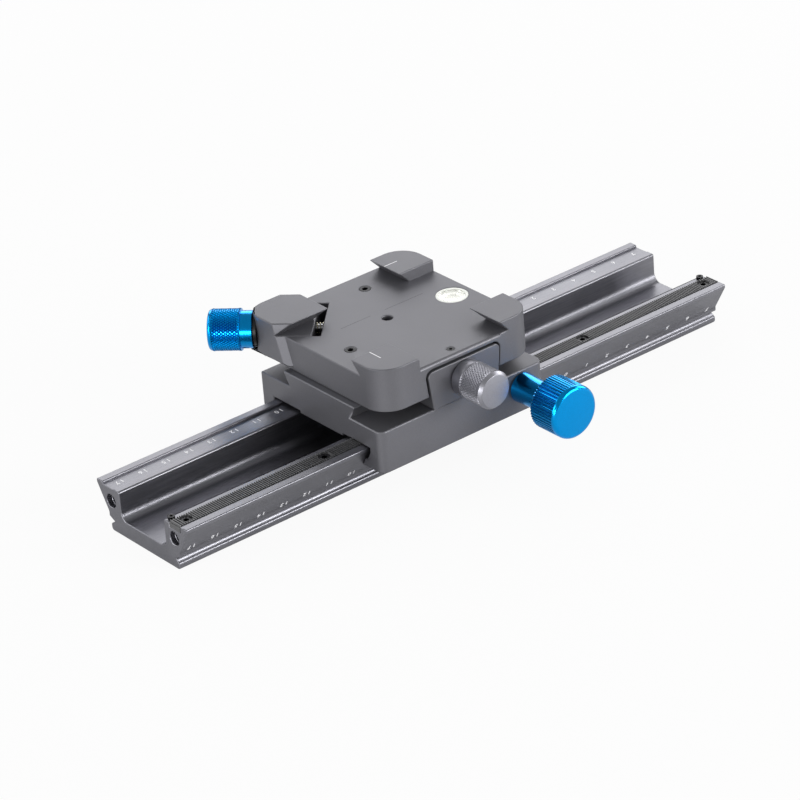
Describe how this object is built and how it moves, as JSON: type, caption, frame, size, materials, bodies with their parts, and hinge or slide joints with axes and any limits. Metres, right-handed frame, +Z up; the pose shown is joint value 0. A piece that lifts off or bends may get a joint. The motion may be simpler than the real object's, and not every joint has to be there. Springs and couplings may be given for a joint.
{
  "type": "macro focusing rail",
  "caption": "Geared macro focusing rail with a driven carriage and a two-way quick release clamp on top.",
  "frame": {"origin": "mouth of the large tripod thread, in the middle of the rail's foot", "axes": "+X along the rail, +Z up, the drive knob points to -Y"},
  "size_m": [0.25, 0.1182, 0.0485],
  "materials": {
    "anodised_titanium": "fine blasted, titanium grey anodised",
    "anodised_rail": "fine blasted, titanium grey anodised",
    "anodised_silver": "knurled, clear anodised",
    "anodised_blue": "turned, bright blue anodised",
    "dark_rack": "black oxide, milled teeth",
    "black_steel": "black oxide",
    "stainless": "turned",
    "spring_steel": "drawn wire",
    "bronze": "turned bearing bronze",
    "black_plastic": "moulded",
    "white_plastic": "moulded white acrylic",
    "level_liquid": "clear tinted liquid",
    "level_air": "clear bubble",
    "level_glass": "clear cover"
  },
  "bodies": {
    "rail_base": {"rail": "anodised_rail", "rack": "dark_rack", "rack_screws": "black_steel", "end_stop_screws": "black_steel", "tripod_insert": "stainless"},
    "carriage_body": {"carriage": "anodised_titanium", "gib": "bronze", "gib_screws": "black_steel", "front_bush": "bronze", "inner_bush": "bronze", "shaft_keeper": "black_steel"},
    "drive": {"pinion_shaft": "stainless", "drive_knob": "anodised_blue", "drive_knob_grub": "black_steel"},
    "clamp": {"clamp_base": "anodised_titanium", "floor_screws": "black_steel", "tab_limit_screw": "black_steel", "level_cup": "white_plastic", "level_fluid": "level_liquid", "level_bubble": "level_air", "level_glass": "level_glass", "tab_springs": "spring_steel", "jaw_spring": "spring_steel"},
    "tab": {"clamp_tab": "anodised_titanium", "tab_guide_pins": "stainless"},
    "tab_drive": {"tab_screw": "stainless", "tab_knob": "anodised_silver"},
    "jaw": {"corner_jaw": "anodised_titanium", "jaw_washer": "black_plastic"},
    "jaw_drive": {"jaw_screw": "stainless", "jaw_knob": "anodised_blue", "jaw_knob_grub": "stainless"}
  },
  "joints": [
    {"name": "focus_travel", "type": "slide", "parent": "rail_base", "child": "carriage_body", "axis": [1, 0, 0], "range_m": [-0.075, 0.092]},
    {"name": "drive_knob_turn", "type": "hinge", "parent": "carriage_body", "child": "drive", "pos_m": [0.0185, -0.04, 0.01988], "axis": [0, -1, 0], "range_deg": [-2950, 2410]},
    {"name": "clamp_shift", "type": "slide", "parent": "carriage_body", "child": "clamp", "axis": [1, 0, 0], "range_m": [-0.015, 0.015]},
    {"name": "tab_release", "type": "slide", "parent": "clamp", "child": "tab", "axis": [0, -1, 0], "range_m": [0, 0.0015]},
    {"name": "tab_knob_turn", "type": "hinge", "parent": "tab", "child": "tab_drive", "pos_m": [-0.007, -0.04, 0.03425], "axis": [0, -1, 0], "range_deg": [0, 765]},
    {"name": "jaw_travel", "type": "slide", "parent": "clamp", "child": "jaw", "axis": [-0.7071, 0.7071, 0], "range_m": [-0.003, 0.001], "deforming": ["jaw_spring"]},
    {"name": "jaw_knob_turn", "type": "hinge", "parent": "jaw", "child": "jaw_drive", "pos_m": [-0.0446, 0.04025, 0.0407], "axis": [-0.7071, 0.7071, 0], "range_deg": [-2150, 715]}
  ],
  "couplings": [
    {"joint": "drive_knob_turn", "follows": "focus_travel", "rad_per_m": -555.56},
    {"joint": "tab_release", "follows": "tab_knob_turn", "m_per_rad": 0.00011141},
    {"joint": "jaw_travel", "follows": "jaw_knob_turn", "m_per_rad": 0.000079577}
  ]
}
